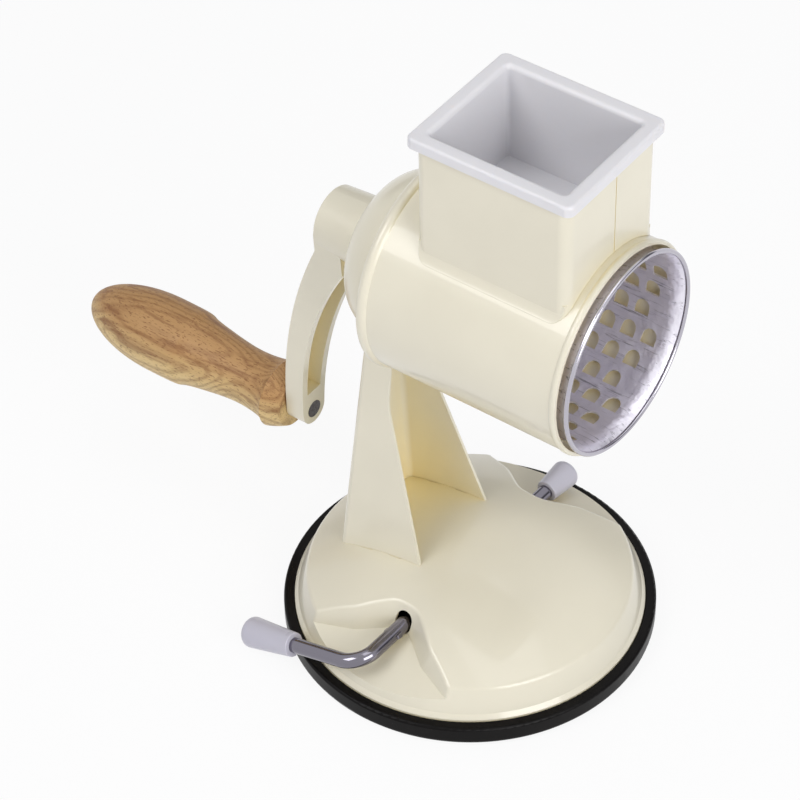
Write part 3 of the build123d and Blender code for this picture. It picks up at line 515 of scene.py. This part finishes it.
def pale_floor():
    """Large pale floor: nearly white to the camera, and it keeps the object's shadow."""
    colours = bpy.context.scene.grater_colours
    reach = FLOOR_REACH
    mesh = bpy.data.meshes.new("floor")
    corners = [(-reach, -reach, 0), (reach, -reach, 0), (reach, reach, 0), (-reach, reach, 0)]
    mesh.from_pydata(corners, [], [(0, 1, 2, 3)])
    floor = bpy.data.objects.new("floor", mesh)
    bpy.context.scene.collection.objects.link(floor)
    material = bpy.data.materials.new("painted_board")
    tree = clear_tree(material)
    patches = noise(tree, place_of(tree), bpy.context.scene.grater_sizes.floor_patch)
    tone = blend_colour(tree, patches, tuple(colours.floor), tuple(colours.floor_shade))
    paint = add(tree, "ShaderNodeBsdfDiffuse", Color=tone)
    glow = add(tree, "ShaderNodeEmission", {"Color": linear(WHITE), "Strength": 1.0})
    share = calc(tree, "MULTIPLY", seen_white(tree)[1], FLOOR_WHITE)
    mix = add(tree, "ShaderNodeMixShader", i0=share, i1=paint.outputs[0], i2=glow.outputs[0])
    add(tree, "ShaderNodeOutputMaterial", Surface=mix.outputs[0])
    mesh.materials.append(material)


def pale_world():
    """Soft grey room light; white to the camera and to mirrors, but for a dark far wall."""
    colours = bpy.context.scene.grater_colours
    world = bpy.data.worlds.new("studio")
    bpy.context.scene.world = world
    tree = clear_tree(world)
    room = add(tree, "ShaderNodeBackground",
               {"Color": tuple(colours.room), "Strength": ROOM_STRENGTH})
    direction = add(tree, "ShaderNodeTexCoord").outputs["Generated"]
    split = add(tree, "ShaderNodeSeparateXYZ", Vector=direction)
    # the wall: a band a little above the horizon, on the +Y side
    above = spread(tree, split.outputs["Z"], 0.12, 0.2, 0.0, 1.0)
    below = spread(tree, split.outputs["Z"], 0.45, 0.6, 1.0, 0.0)
    away = spread(tree, split.outputs["Y"], 0.2, 0.4, 0.0, 0.9)
    wall = calc(tree, "MULTIPLY", calc(tree, "MULTIPLY", above, below), away)
    path, seen = seen_white(tree)
    wall = calc(tree, "MULTIPLY", wall, path.outputs["Is Glossy Ray"])
    tone = blend_colour(tree, wall, linear(WHITE), tuple(colours.far_wall))
    white = add(tree, "ShaderNodeBackground", {"Strength": 1.0}, Color=tone)
    mix = add(tree, "ShaderNodeMixShader", i0=seen, i1=room.outputs[0], i2=white.outputs[0])
    add(tree, "ShaderNodeOutputWorld", Surface=mix.outputs[0])


def photo_camera():
    """The camera of the photograph: place, turn and focal length come from the object's edges."""
    place = Vector(CAMERA_PLACE) * MM
    yaw, pitch, roll = (math.radians(angle) for angle in CAMERA_TURN)
    forward = Vector((math.sin(yaw) * math.cos(pitch), math.cos(yaw) * math.cos(pitch),
                      -math.sin(pitch)))
    right = forward.cross(Vector((0, 0, 1))).normalized()
    up = right.cross(forward)
    turned_right = right * math.cos(roll) + up * math.sin(roll)
    turned_up = up * math.cos(roll) - right * math.sin(roll)
    data = bpy.data.cameras.new("photo_camera")
    data.sensor_width = SENSOR_WIDTH
    data.lens = bpy.context.scene.grater_sizes.lens
    data.clip_start, data.clip_end = CAMERA_CLIP
    camera = bpy.data.objects.new("photo_camera", data)
    axes = Matrix((turned_right, turned_up, -forward)).transposed()
    camera.matrix_world = Matrix.Translation(place) @ axes.to_4x4()
    bpy.context.scene.collection.objects.link(camera)
    bpy.context.scene.camera = camera


class GRATER_OT_stage(bpy.types.Operator):
    """Floor, room light, lamps and the photograph's camera"""

    bl_idname = "grater.stage"
    bl_label = "Stage"

    def execute(self, context):
        pale_floor()
        pale_world()
        photo_camera()
        for lamp in LAMPS:
            soft_lamp(*lamp)
        context.scene.view_settings.view_transform = "Standard"
        return {"FINISHED"}


class GRATER_PT_looks(bpy.types.Panel):
    """Lists the pieces of the grater's looks"""

    bl_idname = "GRATER_PT_looks"
    bl_label = "Drum grater"
    bl_space_type = "VIEW_3D"
    bl_region_type = "UI"
    bl_category = "Grater"

    def draw(self, context):
        for operator in OPERATORS:
            self.layout.operator(operator.bl_idname)
        for group in (context.scene.grater_colours, context.scene.grater_sizes):
            box = self.layout.box()
            for name in group.__annotations__:
                box.prop(group, name)


OPERATORS = (GRATER_OT_enamelled_sheet, GRATER_OT_crank, GRATER_OT_handle, GRATER_OT_lever,
             GRATER_OT_drum, GRATER_OT_pusher, GRATER_OT_foot, GRATER_OT_hardware,
             GRATER_OT_stage)
CLASSES = (GraterColours, GraterSizes, *OPERATORS, GRATER_PT_looks)


def register():
    for item in CLASSES:
        bpy.utils.register_class(item)
    bpy.types.Scene.grater_colours = PointerProperty(type=GraterColours)
    bpy.types.Scene.grater_sizes = PointerProperty(type=GraterSizes)


def unregister():
    del bpy.types.Scene.grater_sizes
    del bpy.types.Scene.grater_colours
    for item in reversed(CLASSES):
        bpy.utils.unregister_class(item)


def main():
    register()
    for operator in OPERATORS:
        group, name = operator.bl_idname.split(".")
        getattr(getattr(bpy.ops, group), name)()


if __name__ == "__main__":
    main()
